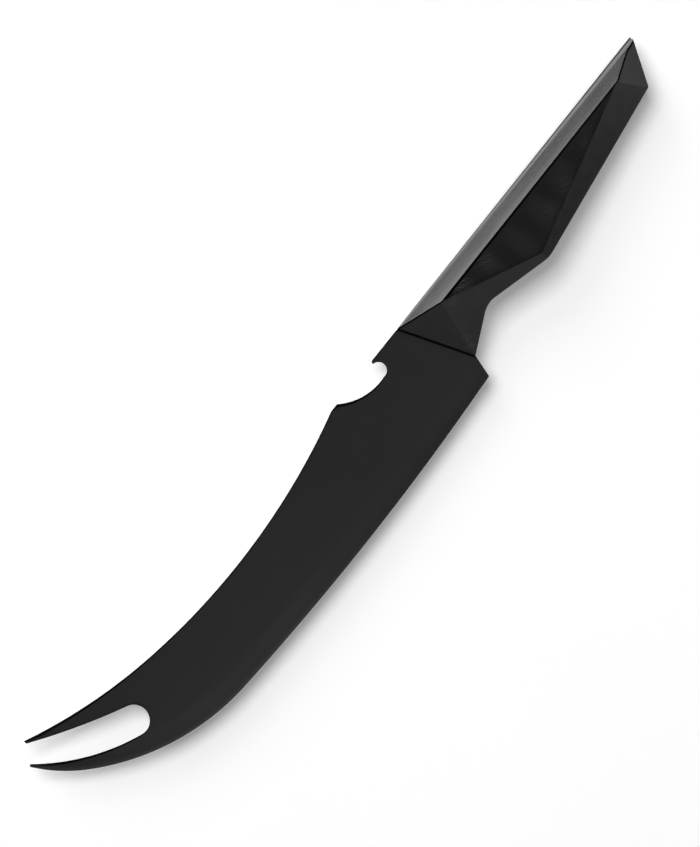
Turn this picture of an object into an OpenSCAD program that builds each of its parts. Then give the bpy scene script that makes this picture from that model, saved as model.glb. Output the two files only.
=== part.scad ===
// Barbecue knife: a coated blade with a two-tine fork tip and a bottle opener in its spine,
// two moulded scales with inlaid grip panels, and a metal cap along the top of the handle.
// Millimetres. The drawing frame has its origin at the top front corner of the handle,
// x towards the butt, y towards the spine and z towards the left side of the knife.
// The finished part lies on its right side, centred on the origin.

/* [Blade] */
// Length from the handle to the tip of the lower tine
blade_len = 214.7; // [200:0.1:230]
// Thickness of the blade
blade_t = 2.5; // [2:0.1:3.2]
// Depth from the spine line to the lowest point of the edge
blade_depth = 41.15; // [38:0.05:46]
// Distance of that lowest point in front of the handle
belly_x = 75.6; // [60:0.1:90]
// Radius of the nearly straight part of the edge
belly_r = 1120; // [800:10:1400]
// Radius of the edge towards the tip
tip_r = 97.6; // [90:0.1:110]
// Length of the curve at the tip
tip_run = 74.2; // [65:0.1:80]
// Depth of the hollow in the spine
spine_sag = 8.6; // [6:0.1:11]
// Distance of the deepest point of the hollow in front of the handle
sag_x = 107.7; // [100:0.1:115]
// Radius of the hollow
spine_r = 272.6; // [240:0.1:320]
// Radius of the spine towards the tip
spine_tip_r = 210.5; // [195:0.5:240]
// Distance in front of the handle where the spine changes to that radius
spine_tip_x = 154.7; // [145:0.1:162]
// How far the heel reaches behind the top front corner of the handle
heel_x = 7.55; // [4:0.05:9]
// Height of the ground bevel above the edge
grind_h = 9; // [5:0.5:14]
// Thickness of the steel above the sharpened bevel
grind_t = 0.6; // [0.4:0.05:1]
// Height of the sharpened bevel
sharp_h = 0.7; // [0.4:0.1:1.5]
// Width of the flat that is left on the edge
edge_t = 0.1; // [0.05:0.01:0.2]

/* [Fork tip] */
// Distance of the slot's round end behind the tip of the lower tine
slot_run = 38.1; // [30:0.1:44]
// Depth of the centre of that round end below the spine line
slot_drop = 14.8; // [13:0.1:16.5]
// Radius of the round end
slot_r = 5.95; // [5:0.05:7.5]
// How much shorter the upper tine is
tine_step = 6.2; // [3:0.1:10]
// Radius of the lower edge of the upper tine
upper_tine_r = 256; // [220:1:290]
// Radius of the upper edge of the lower tine
lower_tine_r = 84.4; // [80:0.1:92]
// Height of the tip of the lower tine above the spine line
tip_rise = 4.9; // [3:0.1:6]
// Width of the blunt end of the upper tine
upper_end_w = 1.4; // [0.8:0.1:2]
// Width of the blunt end of the lower tine
lower_end_w = 1.1; // [0.8:0.1:2]
// Angle of the blunt end of the lower tine to the spine line
lower_end_angle = 20; // [0:1:30]
// Length of the tighter curve on the outside of the lower tine
relief_len = 21; // [17:0.5:24]
// Radius of that curve
relief_r = 60; // [50:1:70]

/* [Bottle opener] */
// Distance of the hook's beak in front of the handle
hook_x = 16.1; // [12:0.1:20]
// Radius inside the hook
hook_r = 3.15; // [2.5:0.05:3.5]
// Depth of the notch
notch_depth = 7.43; // [7:0.01:9]
// Radius of the ramp
ramp_r = 22.9; // [18:0.1:28]
// Distance of the deepest point of the ramp in front of the beak
ramp_x = 3.35; // [2.5:0.05:5]
// Radius of the beak
beak_r = 0.9; // [0.5:0.1:1.2]

/* [Handle] */
// Length of the handle
handle_len = 140.4; // [130:0.1:150]
// Height of the front of the handle
front_h = 29.2; // [26:0.1:31]
// How far the front leans back
front_lean = 10.33; // [8:0.01:12]
// Distance of the neck behind the front
neck_x = 28.3; // [25:0.1:32]
// Depth of the handle at the neck
neck_h = 20.2; // [18.5:0.1:22]
// Radius at the neck
neck_r = 10; // [6:0.5:16]
// Distance of the palm bulge behind the front
bulge_x = 56.2; // [52:0.1:62]
// Depth of the handle at the palm bulge
bulge_h = 27.65; // [25.5:0.05:31]
// Radius at the palm bulge
bulge_r = 11; // [6:0.5:18]
// Depth of the butt
butt_h = 16.8; // [14.5:0.1:18]
// How far the butt leans back
butt_lean = 11.1; // [8:0.1:13]
// Distance of the widest point behind the front
palm_x = 55.5; // [51:0.1:60]
// Depth of the widest point
palm_drop = 24.3; // [22.5:0.1:25.3]
// Half thickness at the widest point
palm_z = 10; // [9:0.1:12]
// Half thickness at the front end of the top ridge
ridge_front_z = 9.4; // [8.5:0.1:11]
// Half thickness at the rear end of the top ridge
ridge_rear_z = 8.6; // [7.8:0.1:10]
// Half thickness at the top front corner
front_z = 4.2; // [3:0.1:5]
// Half thickness at the lower front corner
heel_z = 1.95; // [1.8:0.05:2.6]
// Half thickness at the lower corner of the butt
butt_low_z = 4.4; // [3.5:0.1:5.5]
// Half thickness at the top of the butt
butt_top_z = 3.65; // [3:0.05:4.5]

/* [Spine cap] */
// Depth of the cap behind its nose
cap_h = 6.5; // [5.5:0.1:7]
// Depth of the cap in front of its tail
cap_rear_h = 6.15; // [5.2:0.05:6.8]
// Length of the sloping nose
cap_nose = 18; // [15:0.1:20]
// Length of the tail
cap_tail = 17.3; // [14:0.1:19]
// Rise of the cap's top above the spine line
cap_crown = 1.15; // [0.6:0.05:1.5]
// Distance of the bend in the tail from the butt
tail_bend_x = 5.7; // [4.5:0.1:7]
// Depth of the cap at that bend
tail_bend_h = 1.85; // [1.6:0.05:2.1]
// Rise of the tail's line behind the bend, for each unit of its length
tail_slope = 0.12; // [0.05:0.01:0.2]
// Width of the upper band of facets at the front
cap_band_front = 0.55; // [0.4:0.05:0.7]
// Width of the same band at the butt
cap_band = 1.35; // [1:0.05:1.6]
// Fall of the upper band, for each unit of its width
band_fall = 1.4; // [1.2:0.05:1.6]
// Fall of the crown above it, for each unit of its width
crown_fall = 2.2; // [1.8:0.05:2.6]
// Height of the crown's lower line at the butt
crown_low = 0.15; // [0.1:0.05:0.3]
// Thickness of the gasket under the cap
gasket_t = 0.5; // [0.4:0.05:0.8]
// How far the gasket stays behind the outer faces
gasket_inset = 0.35; // [0.2:0.05:0.6]
// Distances of the two pairs of lugs behind the front, as shares of the handle's length
lug_shares = [0.365, 0.7]; // [0.3:0.005:0.72]
// Width of a lug
lug_w = 8; // [6:0.5:9]
// Thickness of a lug
lug_t = 2.2; // [1.5:0.1:2.6]
// Length of a lug below the cap
lug_drop = 8; // [7.5:0.1:9]
// Distance of a dowel above the end of its lug
dowel_up = 3; // [2.5:0.1:4]

/* [Grip panels] */
// Thickness of a grip panel
panel_t = 1.8; // [1.2:0.1:2.4]

/* [Tang] */
// Step from the blade's face down to the tang, on each side
shoulder = 0.15; // [0.1:0.05:0.3]
// Distance from the end of the tang to the end of the handle
tang_short = 31; // [28:0.5:34]
// Height of the tang near its end
tang_end_h = 7; // [6:0.1:8]
// Steel left out between the tang and the underside of the handle, at the neck
neck_wall = 2.5; // [2:0.1:4]
// The same at the palm bulge
palm_wall = 7; // [5:0.1:9]

/* [Seals and fasteners] */
// Width of the front seals
seal_w = 0.7; // [0.5:0.1:1]
// Height of the front seals above the tang
seal_h = 0.45; // [0.3:0.05:0.6]
// Distances of the rivets behind the front, as shares of the handle's length
rivet_shares = [0.265, 0.472, 0.594]; // [0.23:0.001:0.65]
// Diameter of a rivet's sleeve
sleeve_d = 5; // [4:0.1:5.4]
// Diameter of a rivet's pin
pin_d = 3.2; // [2.5:0.1:3.4]
// Diameter of a rivet's head
head_d = 7; // [6.4:0.1:7.4]
// Thickness of a rivet's head
head_t = 1.2; // [0.8:0.1:1.6]
// Diameter of a cap dowel
dowel_d = 3; // [2:0.1:3.4]
// Length of a cap dowel
dowel_len = 12; // [9:0.5:12.5]
// Depth of a rivet's head below the recess of its panel
head_sink = 0.4; // [0.2:0.1:0.8]
// Thickness of the closed end of a sleeve, under its head
sleeve_floor = 1; // [0.6:0.1:1.5]
// Room past the end of a sleeve, and past the end of a pin
end_room = 0.5; // [0.3:0.1:1]

/* [Clearances] */
// Gap around pieces that are laid in, and around the tang
lay_gap = 0.1; // [0.05:0.01:0.2]
// Gap around the rivets and the dowels
pin_gap = 0.03; // [0.02:0.01:0.06]

/* [Hidden] */
$fn = 360;
// Arcs that run into each other overlap by this much
blend = 0.02;
// Larger than any piece of the knife
far = 400;

function unit(v) = v / norm(v);
function turned(v) = [-v[1], v[0]];
function flat_cross(u, v) = u[0] * v[1] - u[1] * v[0];
// Where the line through p along u meets the line through q along v
function line_meet(p, u, q, v) = p + u * flat_cross(q - p, v) / flat_cross(u, v);
// Where a circle about a of radius ra meets one about b of radius rb, left of the way from a to b
function circles_meet(a, ra, b, rb) =
    let (d = norm(b - a), along = (ra * ra - rb * rb + d * d) / (2 * d))
    a + unit(b - a) * along + turned(unit(b - a)) * sqrt(ra * ra - along * along);
// The lower half of a circle at the distance x
function arc_y(middle, r, x) = middle[1] - sqrt(r * r - (x - middle[0]) * (x - middle[0]));
// The corner b of the path a, b, c after both its lines move to the left by d
function moved_corner(a, b, c, d) =
    line_meet(b + turned(unit(b - a)) * d, b - a, b + turned(unit(c - b)) * d, c - b);
// A closed outline with every side moved to the left by d
function moved_outline(pts, d) =
    let (n = len(pts))
    [for (i = [0:n - 1]) moved_corner(pts[(i + n - 1) % n], pts[i], pts[(i + 1) % n], d)];
// The points of an arc of radius r that rounds the corner b of the path a, b, c
function rounded(a, b, c, r, steps = 8) =
    let (
        u = unit(a - b),
        v = unit(c - b),
        half = acos(u * v) / 2,
        middle = b + unit(u + v) * r / sin(half),
        start = b + u * r / tan(half) - middle,
        side = sign(flat_cross(b - a, c - b)),
        sweep = side * (180 - 2 * half)
    )
    [for (i = [0:steps]) let (t = sweep * i / steps)
        middle + [start[0] * cos(t) - start[1] * sin(t), start[0] * sin(t) + start[1] * cos(t)]];
// A plane is a point and its outward normal. This one holds three points and faces +z
function plane(a, b, c) =
    let (n = unit(cross(b - a, c - a)))
    [a, n[2] < 0 ? -n : n];
// The height of a plane over the point p
function plane_z(pl, p) =
    pl[0][2] - (pl[1][0] * (p[0] - pl[0][0]) + pl[1][1] * (p[1] - pl[0][1])) / pl[1][2];
function on_plane(pl, p) = [p[0], p[1], plane_z(pl, p)];
function raised(p, z) = [p[0], p[1], z];

// Edge of the blade: two arcs that run into each other at edge_joint
edge_x = -(blade_len - tip_run);
edge_turn = asin((-edge_x - belly_x) / belly_r);
edge_joint = [edge_x, -blade_depth + belly_r * (1 - cos(edge_turn))];
// Spine of the blade: two arcs that run into each other at spine_joint
spine_turn = asin((spine_tip_x - sag_x) / spine_r);
spine_joint = [-spine_tip_x, -spine_sag + spine_r * (1 - cos(spine_turn))];
spine_tip_middle = spine_joint + spine_tip_r * [sin(spine_turn), cos(spine_turn)];
edge_tip_middle = edge_joint + tip_r * [sin(edge_turn), cos(edge_turn)];
// Fork: the slot runs from its round end between two arcs that are tangent to it
slot_middle = [slot_run - blade_len, -slot_drop];
lower_tip = [-blade_len, tip_rise];
lower_end_way = [cos(lower_end_angle), sin(lower_end_angle)];
lower_tip_inner = lower_tip + lower_end_w * lower_end_way;
upper_tip_x = tine_step - blade_len;
upper_tip_y = arc_y(spine_tip_middle, spine_tip_r, upper_tip_x);
upper_tip_inner = [upper_tip_x, upper_tip_y - upper_end_w];
upper_arc_middle = circles_meet(upper_tip_inner, upper_tine_r, slot_middle, upper_tine_r + slot_r);
lower_arc_middle = circles_meet(lower_tip_inner, lower_tine_r, slot_middle, lower_tine_r - slot_r);
upper_touch = slot_middle + slot_r * unit(upper_arc_middle - slot_middle);
lower_touch = slot_middle - slot_r * unit(lower_arc_middle - slot_middle);
// The outer side of the lower tine ends in a tighter curve, from the edge to the tip
relief_start = circles_meet(edge_tip_middle, tip_r, lower_tip, relief_len);
relief_middle = circles_meet(lower_tip, relief_r, relief_start, relief_r);
// The ends of the tines are cut apart at this height
tine_split = tip_rise + 4;
// Width of the blade before its spine is cut, and how far its tip turns
blade_reach = ceil(1.5 * blade_depth);
tip_sweep = 80;

// Handle outline, seen from the left
front_top = [0, 0];
front_low = [front_lean, -front_h];
front_way = unit(front_low - front_top);
neck = [neck_x, -neck_h];
bulge = [bulge_x, -bulge_h];
butt_low = [handle_len - butt_lean, -butt_h];
butt_top = [handle_len, 0];
palm = [palm_x, -palm_drop];
heel = [heel_x, arc_y([-belly_x, belly_r - blade_depth], belly_r, heel_x)];
// Lower line of the spine cap, from its nose to its tail, which flattens out near the butt
nose_low = [cap_nose, -cap_h];
tail_low = [handle_len - cap_tail, -cap_rear_h];
tail_mid = [handle_len - tail_bend_x, -tail_bend_h];
tail_end = line_meet(tail_mid, [1, tail_slope], butt_top, butt_low - butt_top);
// The same line on the scales, under the gasket
scale_front = line_meet(
    front_top - turned(unit(nose_low)) * gasket_t, nose_low, front_top, front_way);
scale_nose = moved_corner(front_top, nose_low, tail_low, -gasket_t);
scale_tail = moved_corner(nose_low, tail_low, tail_mid, -gasket_t);
scale_tail_mid = moved_corner(tail_low, tail_mid, tail_end, -gasket_t);
scale_end = line_meet(scale_tail_mid, tail_end - tail_mid, butt_top, butt_low - butt_top);
scale_outline = concat(
    [scale_front, scale_nose, scale_tail, scale_tail_mid, scale_end, butt_low],
    rounded(butt_low, bulge, neck, bulge_r),
    rounded(bulge, neck, front_low, neck_r),
    [front_low]);
// Top of the cap from the butt to the front, as shares of the handle's length and of the crown
crown_shares = [[1, -0.25], [1, 0.35], [0.935, 0.87], [0.82, 1], [0.46, 0.83], [0.21, 0.48]];
cap_outline = concat(
    [front_top, nose_low, tail_low, tail_mid, tail_end],
    [for (share = crown_shares) [share[0] * handle_len, share[1] * cap_crown]]);
gasket_outline = [
    front_top, nose_low, tail_low, tail_mid, tail_end,
    scale_end, scale_tail_mid, scale_tail, scale_nose, scale_front];

// Facets of the handle's left side
ridge_front = raised(nose_low, ridge_front_z);
ridge_rear = raised(tail_low, ridge_rear_z);
nose_facet = plane(raised(front_top, front_z), ridge_front, raised(front_low, heel_z));
neck_facet = plane(ridge_front, raised(palm, palm_z), raised(front_low, heel_z));
grip_facet = plane(ridge_front, raised(palm, palm_z), ridge_rear);
palm_facet = plane(ridge_rear, raised(palm, palm_z), raised(butt_low, butt_low_z));
butt_facet = plane(ridge_rear, raised(butt_low, butt_low_z), raised(butt_top, butt_top_z));
// Facets of the cap: the wide one, then two narrow ones that fall away more
cap_facet = plane(raised(front_top, front_z), ridge_front, ridge_rear);
band_front = on_plane(cap_facet, [0, -cap_band_front]);
band_rear = on_plane(cap_facet, [handle_len, -cap_band]);
band_facet = plane(band_front, band_rear, band_front + [0, -1, band_fall]);
crown_front = on_plane(band_facet, [0, 0]);
crown_rear = on_plane(band_facet, [handle_len, crown_low]);
crown_facet = plane(crown_front, crown_rear, crown_front + [0, -1, crown_fall]);

// Grip panel: the grip facet, from the gasket down
panel_front = line_meet(scale_nose, scale_tail - scale_nose, nose_low, palm - nose_low);
panel_rear = line_meet(scale_nose, scale_tail - scale_nose, tail_low, palm - tail_low);
panel_outline = [panel_front, panel_rear, palm];
panel_hole = moved_outline(panel_outline, lay_gap);
// The middle of the panel at the distance x, where a rivet sits
function panel_middle(x) =
    let (
        top = line_meet(scale_nose, scale_tail - scale_nose, [x, 0], [0, 1]),
        low = x < palm_x
            ? line_meet(nose_low, palm - nose_low, [x, 0], [0, 1])
            : line_meet(tail_low, palm - tail_low, [x, 0], [0, 1])
    )
    (top + low) / 2;
rivet_spots = [for (share = rivet_shares) panel_middle(share * handle_len)];
// Half length of a rivet: its heads end just under the panels
rivet_z = min([for (p = rivet_spots) plane_z(grip_facet, p)]) - panel_t - head_sink;
under_head = rivet_z - head_t;

// Tang, inside the handle
tang_z = blade_t / 2 - shoulder;
tang_end = handle_len - tang_short;
tang_top = -cap_h - 2 * gasket_t - shoulder;
seal_back = turned(front_way) * -seal_w;
neck_top = [0, -shoulder];
shoulder_top = line_meet(front_top + seal_back, front_way, neck_top, [1, 0]);
shoulder_low = line_meet(shoulder_top, front_way, heel, front_low - heel);
// The tang starts inside the blade, its top stays clear of the cap and the gasket, and its toe
// stays clear of the neck
tang_root = 4 * seal_back;
tang_toe = front_low + 1.7 * [neck_wall, neck_wall];
tang_front = scale_front + gasket_t * front_way;
tang_clear = turned(front_way) * -2 * lay_gap;
tang_outline = [
    shoulder_top + tang_root,
    shoulder_top,
    line_meet(front_top + tang_clear, front_way, neck_top, [1, 0]),
    tang_front + tang_clear,
    tang_front,
    [cap_nose, tang_top],
    [tang_end - tang_end_h / 2, tang_top],
    [tang_end, tang_top - tang_end_h / 2],
    [tang_end - tang_end_h / 2, tang_top - tang_end_h],
    [bulge_x, palm_wall - bulge_h],
    [neck_x + neck_r / 2, neck_wall - neck_h],
    [neck_x - neck_r / 2, neck_wall - neck_h],
    tang_toe,
    front_low,
    shoulder_low,
    shoulder_low + tang_root];
tang_pocket = moved_outline(tang_outline, lay_gap);
seal_outline = [shoulder_top, front_top, front_low, shoulder_low];

// Lugs of the cap straddle the tang, and a dowel goes through both
lug_in = tang_z + lay_gap;
lug_out = lug_in + lug_t;
lug_low = -cap_h - lug_drop;
lug_x = lug_shares * handle_len;
dowel_spots = [for (x = lug_x) [x, lug_low + dowel_up]];

// Middle of the part's box in the drawing frame
mid_x = (handle_len - blade_len) / 2;
mid_y = (upper_tip_y - blade_depth) / 2;

// Piece to draw, or all of them

// Moves the drawing frame so that the part lies on its right side over the origin
module laid() {
    translate([-mid_x, -mid_y, palm_z])
        children();
}

// Everything below a plane, after the plane moves out by rise
module below(pl, rise = 0) {
    n = pl[1];
    u = unit(cross([0, 1, 0], n));
    v = cross(n, u);
    p = pl[0] + n * rise;
    multmatrix([
        [u[0], v[0], n[0], p[0]],
        [u[1], v[1], n[1], p[1]],
        [u[2], v[2], n[2], p[2]],
        [0, 0, 0, 1]])
        translate([-far, -far, -far])
            cube([2 * far, 2 * far, far]);
}

// A prism through the whole knife
module through(outline) {
    linear_extrude(height = 4 * palm_z, center = true)
        polygon(outline);
}

// Half of the ground blade stock: its cross-section turned about the middle of an edge arc
module ground(r, sweep) {
    translate([0, r, 0])
        rotate(-90)
            rotate_extrude(angle = sweep)
                polygon([
                    [r - blade_reach, -blade_t / 2],
                    [r - grind_h, -blade_t / 2],
                    [r - sharp_h, -grind_t / 2],
                    [r, -edge_t / 2],
                    [r, edge_t / 2],
                    [r - sharp_h, grind_t / 2],
                    [r - grind_h, blade_t / 2],
                    [r - blade_reach, blade_t / 2]]);
}

// The disc of radius r that hollows the spine on one side of spine_joint
module spine_hollow(r, side) {
    linear_extrude(height = 2 * blade_t, center = true)
        intersection() {
            translate([0, r])
                circle(r);
            translate([side < 0 ? -far : 0, -1])
                square([far, far]);
        }
}

module opener_notch() {
    linear_extrude(height = 2 * blade_t, center = true) {
        intersection() {
            translate([-hook_x - ramp_x, ramp_r - notch_depth])
                circle(ramp_r);
            translate([-hook_x - 2 * ramp_r, -2 * notch_depth])
                square([2 * ramp_r, 2 * notch_depth + 1]);
        }
        translate([-hook_x - 0.2 * hook_r, hook_r - notch_depth + blend])
            circle(hook_r);
        difference() {
            translate([-hook_x - beak_r, -beak_r])
                square([2 * beak_r, 2 * beak_r]);
            translate([beak_r - hook_x, -beak_r])
                circle(beak_r);
        }
    }
}

module fork_slot() {
    linear_extrude(height = 2 * blade_t, center = true) {
        difference() {
            intersection() {
                translate(lower_arc_middle)
                    circle(lower_tine_r);
                polygon([
                    lower_touch, upper_touch, [upper_touch[0], far], [-far, far],
                    [-far, lower_touch[1]]]);
            }
            translate(upper_arc_middle)
                circle(upper_tine_r);
        }
        translate(slot_middle)
            circle(slot_r + blend);
    }
}

// What lies outside the tighter curve of the lower tine
module tine_relief() {
    linear_extrude(height = 2 * blade_t, center = true)
        difference() {
            polygon([
                lower_tip_inner, [-far, lower_tip_inner[1]], [-far, -2 * blade_depth],
                [relief_start[0], -2 * blade_depth], relief_start]);
            translate(relief_middle)
                circle(relief_r);
        }
}

module blade() {
    color("dimgray")
    laid()
    difference() {
        union() {
            difference() {
                translate(edge_joint)
                    rotate(-edge_turn) {
                        ground(belly_r, edge_turn + asin((belly_x + 3 * heel_x) / belly_r));
                        mirror([1, 0, 0])
                            ground(tip_r, tip_sweep);
                    }
                translate(spine_joint)
                    rotate(-spine_turn) {
                        spine_hollow(spine_r, 1);
                        spine_hollow(spine_tip_r, -1);
                    }
                // Straight spine between the hollow and the handle
                through([[-sag_x, 0], [far, 0], [far, blade_reach], [-sag_x, blade_reach]]);
                // Blunt ends of the tines
                through([
                    [upper_tip_x, tine_split], [upper_tip_x, blade_reach],
                    [-far, blade_reach], [-far, tine_split]]);
                through([
                    lower_tip + 3 * lower_end_way, [lower_tip[0], tine_split + 1],
                    [-far, tine_split + 1], lower_tip - far * lower_end_way]);
                tine_relief();
                // Shoulder and heel
                through([
                    shoulder_top - front_h * front_way, shoulder_low, 2 * heel - front_low,
                    [far, -2 * blade_depth], [far, front_h]]);
                opener_notch();
                fork_slot();
            }
            linear_extrude(height = 2 * tang_z, center = true)
                polygon(tang_outline);
        }
        for (p = rivet_spots)
            translate(p)
                cylinder(d = sleeve_d + 2 * lay_gap, h = 2 * blade_t, center = true);
        for (p = dowel_spots)
            translate(p)
                cylinder(d = dowel_d + 2 * lay_gap, h = 2 * blade_t, center = true);
    }
}

// A scale on the left side
module scale_shape() {
    difference() {
        intersection() {
            linear_extrude(height = 2 * palm_z)
                polygon(scale_outline);
            below(nose_facet);
            below(neck_facet);
            below(grip_facet);
            below(palm_facet);
            below(butt_facet);
        }
        linear_extrude(height = 2 * tang_z, center = true)
            polygon(tang_pocket);
        // Recess for the grip panel
        difference() {
            through(panel_hole);
            below(grip_facet, -panel_t);
        }
        for (p = rivet_spots)
            translate(p) {
                cylinder(d = sleeve_d + 2 * pin_gap, h = 4 * palm_z, center = true);
                translate([0, 0, under_head])
                    cylinder(d = head_d + 2 * lay_gap, h = palm_z);
            }
        for (p = dowel_spots)
            translate(p)
                cylinder(d = dowel_d + 2 * pin_gap, h = dowel_len + 2 * lay_gap, center = true);
        // Slots for the lugs of the cap
        for (x = lug_x)
            translate([x - lug_w / 2 - lay_gap, lug_low - lay_gap, 0])
                cube([lug_w + 2 * lay_gap, 2 * lug_drop, lug_out + lay_gap]);
    }
}

module scale_left() {
    color("black")
    laid()
        scale_shape();
}

module scale_right() {
    color("black")
    laid()
    mirror([0, 0, 1])
        scale_shape();
}

module panel_shape() {
    difference() {
        intersection() {
            linear_extrude(height = 2 * palm_z)
                polygon(panel_outline);
            below(grip_facet);
        }
        below(grip_facet, -panel_t);
    }
}

module grip_panel_left() {
    color("darkslategray")
    laid()
        panel_shape();
}

module grip_panel_right() {
    color("darkslategray")
    laid()
    mirror([0, 0, 1])
        panel_shape();
}

module spine_cap() {
    color("silver")
    laid()
    difference() {
        union() {
            intersection() {
                through(cap_outline);
                below(cap_facet);
                below(band_facet);
                below(crown_facet);
                mirror([0, 0, 1]) below(cap_facet);
                mirror([0, 0, 1]) below(band_facet);
                mirror([0, 0, 1]) below(crown_facet);
            }
            for (x = lug_x)
                for (side = [0, 1])
                    mirror([0, 0, side])
                        translate([x - lug_w / 2, lug_low, lug_in])
                            cube([lug_w, lug_drop + cap_h / 2, lug_t]);
        }
        for (p = dowel_spots)
            translate(p)
                cylinder(d = dowel_d + 2 * pin_gap, h = 4 * palm_z, center = true);
    }
}

module cap_gasket() {
    color("black")
    laid()
    difference() {
        intersection() {
            through(gasket_outline);
            below(cap_facet, -gasket_inset);
            below(nose_facet, -gasket_inset);
            below(grip_facet, -gasket_inset);
            below(butt_facet, -gasket_inset);
            mirror([0, 0, 1]) below(cap_facet, -gasket_inset);
            mirror([0, 0, 1]) below(nose_facet, -gasket_inset);
            mirror([0, 0, 1]) below(grip_facet, -gasket_inset);
            mirror([0, 0, 1]) below(butt_facet, -gasket_inset);
        }
        for (x = lug_x)
            translate([x, -cap_h, 0])
                cube([lug_w + 2 * lay_gap, cap_h, 2 * lug_out + 2 * lay_gap], center = true);
    }
}

module cap_dowels() {
    color("gray")
    laid()
    for (p = dowel_spots)
        translate(p)
            cylinder(d = dowel_d, h = dowel_len, center = true);
}

module rivet_sleeves() {
    color("goldenrod")
    laid()
    for (p = rivet_spots)
        translate(p)
            difference() {
                translate([0, 0, -rivet_z]) {
                    cylinder(d = head_d, h = head_t);
                    cylinder(d = sleeve_d, h = rivet_z + under_head - end_room);
                }
                translate([0, 0, sleeve_floor - under_head])
                    cylinder(d = pin_d + 2 * pin_gap, h = 4 * palm_z);
            }
}

module rivet_pins() {
    color("goldenrod")
    laid()
    for (p = rivet_spots)
        translate(p) {
            translate([0, 0, under_head])
                cylinder(d = head_d, h = head_t);
            translate([0, 0, sleeve_floor + end_room - under_head])
                cylinder(d = pin_d, h = 2 * under_head - sleeve_floor);
        }
}

module seal_shape() {
    translate([0, 0, tang_z])
        linear_extrude(height = seal_h)
            polygon(seal_outline);
}

module front_seal_left() {
    color("black")
    laid()
        seal_shape();
}

module front_seal_right() {
    color("black")
    laid()
    mirror([0, 0, 1])
        seal_shape();
}

blade();
scale_left();
scale_right();
grip_panel_left();
grip_panel_right();
spine_cap();
cap_gasket();
cap_dowels();
rivet_sleeves();
rivet_pins();
front_seal_left();
front_seal_right();
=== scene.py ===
import math

import bmesh
import bpy
import numpy as np
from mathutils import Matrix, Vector
from mathutils.geometry import delaunay_2d_cdt


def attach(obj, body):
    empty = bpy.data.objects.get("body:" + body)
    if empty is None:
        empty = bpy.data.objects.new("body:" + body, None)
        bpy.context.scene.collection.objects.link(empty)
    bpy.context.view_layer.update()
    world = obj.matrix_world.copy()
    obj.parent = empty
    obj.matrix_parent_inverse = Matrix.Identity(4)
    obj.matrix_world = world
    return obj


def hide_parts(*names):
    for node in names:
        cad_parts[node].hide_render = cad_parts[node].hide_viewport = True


# A barbecue knife: its blade, scales, grip panels and spine cap are drawn again with finer forms than
# the CAD has, and the other pieces are shown as they are.
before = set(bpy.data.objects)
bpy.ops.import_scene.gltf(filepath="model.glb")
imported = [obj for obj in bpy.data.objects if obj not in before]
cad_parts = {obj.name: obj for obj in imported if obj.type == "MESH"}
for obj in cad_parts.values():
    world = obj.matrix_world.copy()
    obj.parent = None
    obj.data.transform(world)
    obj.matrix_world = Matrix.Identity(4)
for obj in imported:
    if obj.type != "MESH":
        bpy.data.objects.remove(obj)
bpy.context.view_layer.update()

# Shapes are drawn in millimetres, in the frame of the part's source: the origin is at the top front
# corner of the handle, x runs towards the butt, y towards the spine and z towards the left side.
MM = 0.001
# Distances below this count as touching
TOUCH = 0.01

# Sizes of the part's source: the blade with its edge and its spine
BLADE_LEN, BLADE_T, BLADE_DEPTH = 214.7, 2.5, 41.15
BELLY_X, BELLY_R = 75.6, 1120.0
TIP_R, TIP_RUN = 97.6, 74.2
SPINE_SAG, SAG_X, SPINE_R = 8.6, 107.7, 272.6
SPINE_TIP_R, SPINE_TIP_X = 210.5, 154.7
HEEL_X, GRIND_H, EDGE_T = 7.55, 9.0, 0.1
# The fork
SLOT_RUN, SLOT_DROP, SLOT_R = 38.1, 14.8, 5.95
TINE_STEP, TIP_RISE = 6.2, 4.9
UPPER_TINE_R, UPPER_END_W = 256.0, 1.4
LOWER_TINE_R, LOWER_END_W, LOWER_END_ANGLE = 84.4, 1.1, 20.0
RELIEF_LEN, RELIEF_R = 21.0, 60.0
# The bottle opener. The hook's middle lies in front of the beak by a share of its radius
HOOK_X, HOOK_R, HOOK_SHARE, BEAK_R = 16.1, 3.15, 0.2, 0.9
NOTCH_DEPTH, RAMP_R, RAMP_X, BLEND = 7.43, 22.9, 3.35, 0.02
# The tang
SHOULDER, SEAL_W = 0.15, 0.7
TANG_SHORT, TANG_END_H = 31.0, 7.0
NECK_WALL, PALM_WALL = 2.5, 7.0
# The handle's outline, and the heights of the corners of its facets
HANDLE_LEN, FRONT_H, FRONT_LEAN = 140.4, 29.2, 10.33
NECK, NECK_R = (28.3, -20.2), 10.0
BULGE, BULGE_R = (56.2, -27.65), 11.0
BUTT_H, BUTT_LEAN, PALM = 16.8, 11.1, (55.5, -24.3)
FRONT_Z, HEEL_Z = 4.2, 1.95
PALM_Z, RIDGE_FRONT_Z, RIDGE_REAR_Z = 10.0, 9.4, 8.6
BUTT_LOW_Z, BUTT_TOP_Z = 4.4, 3.65
# The spine cap and its gasket
CAP_H, CAP_REAR_H, CAP_NOSE, CAP_TAIL = 6.5, 6.15, 18.0, 17.3
TAIL_BEND_X, TAIL_BEND_H, TAIL_SLOPE = 5.7, 1.85, 0.12
CAP_BAND_FRONT, CAP_BAND, BAND_FALL = 0.55, 1.35, 1.4
CAP_CROWN, CROWN_FALL, CROWN_LOW = 1.15, 2.2, 0.15
# Corners of the crown's outline, as shares of the handle's length and of the crown's height
CROWN_SHARES = ((0.21, 0.48), (0.46, 0.83), (0.82, 1), (0.935, 0.87), (0.9995, 0.35), (0.9995, -0.25))
GASKET_T = 0.5
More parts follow.
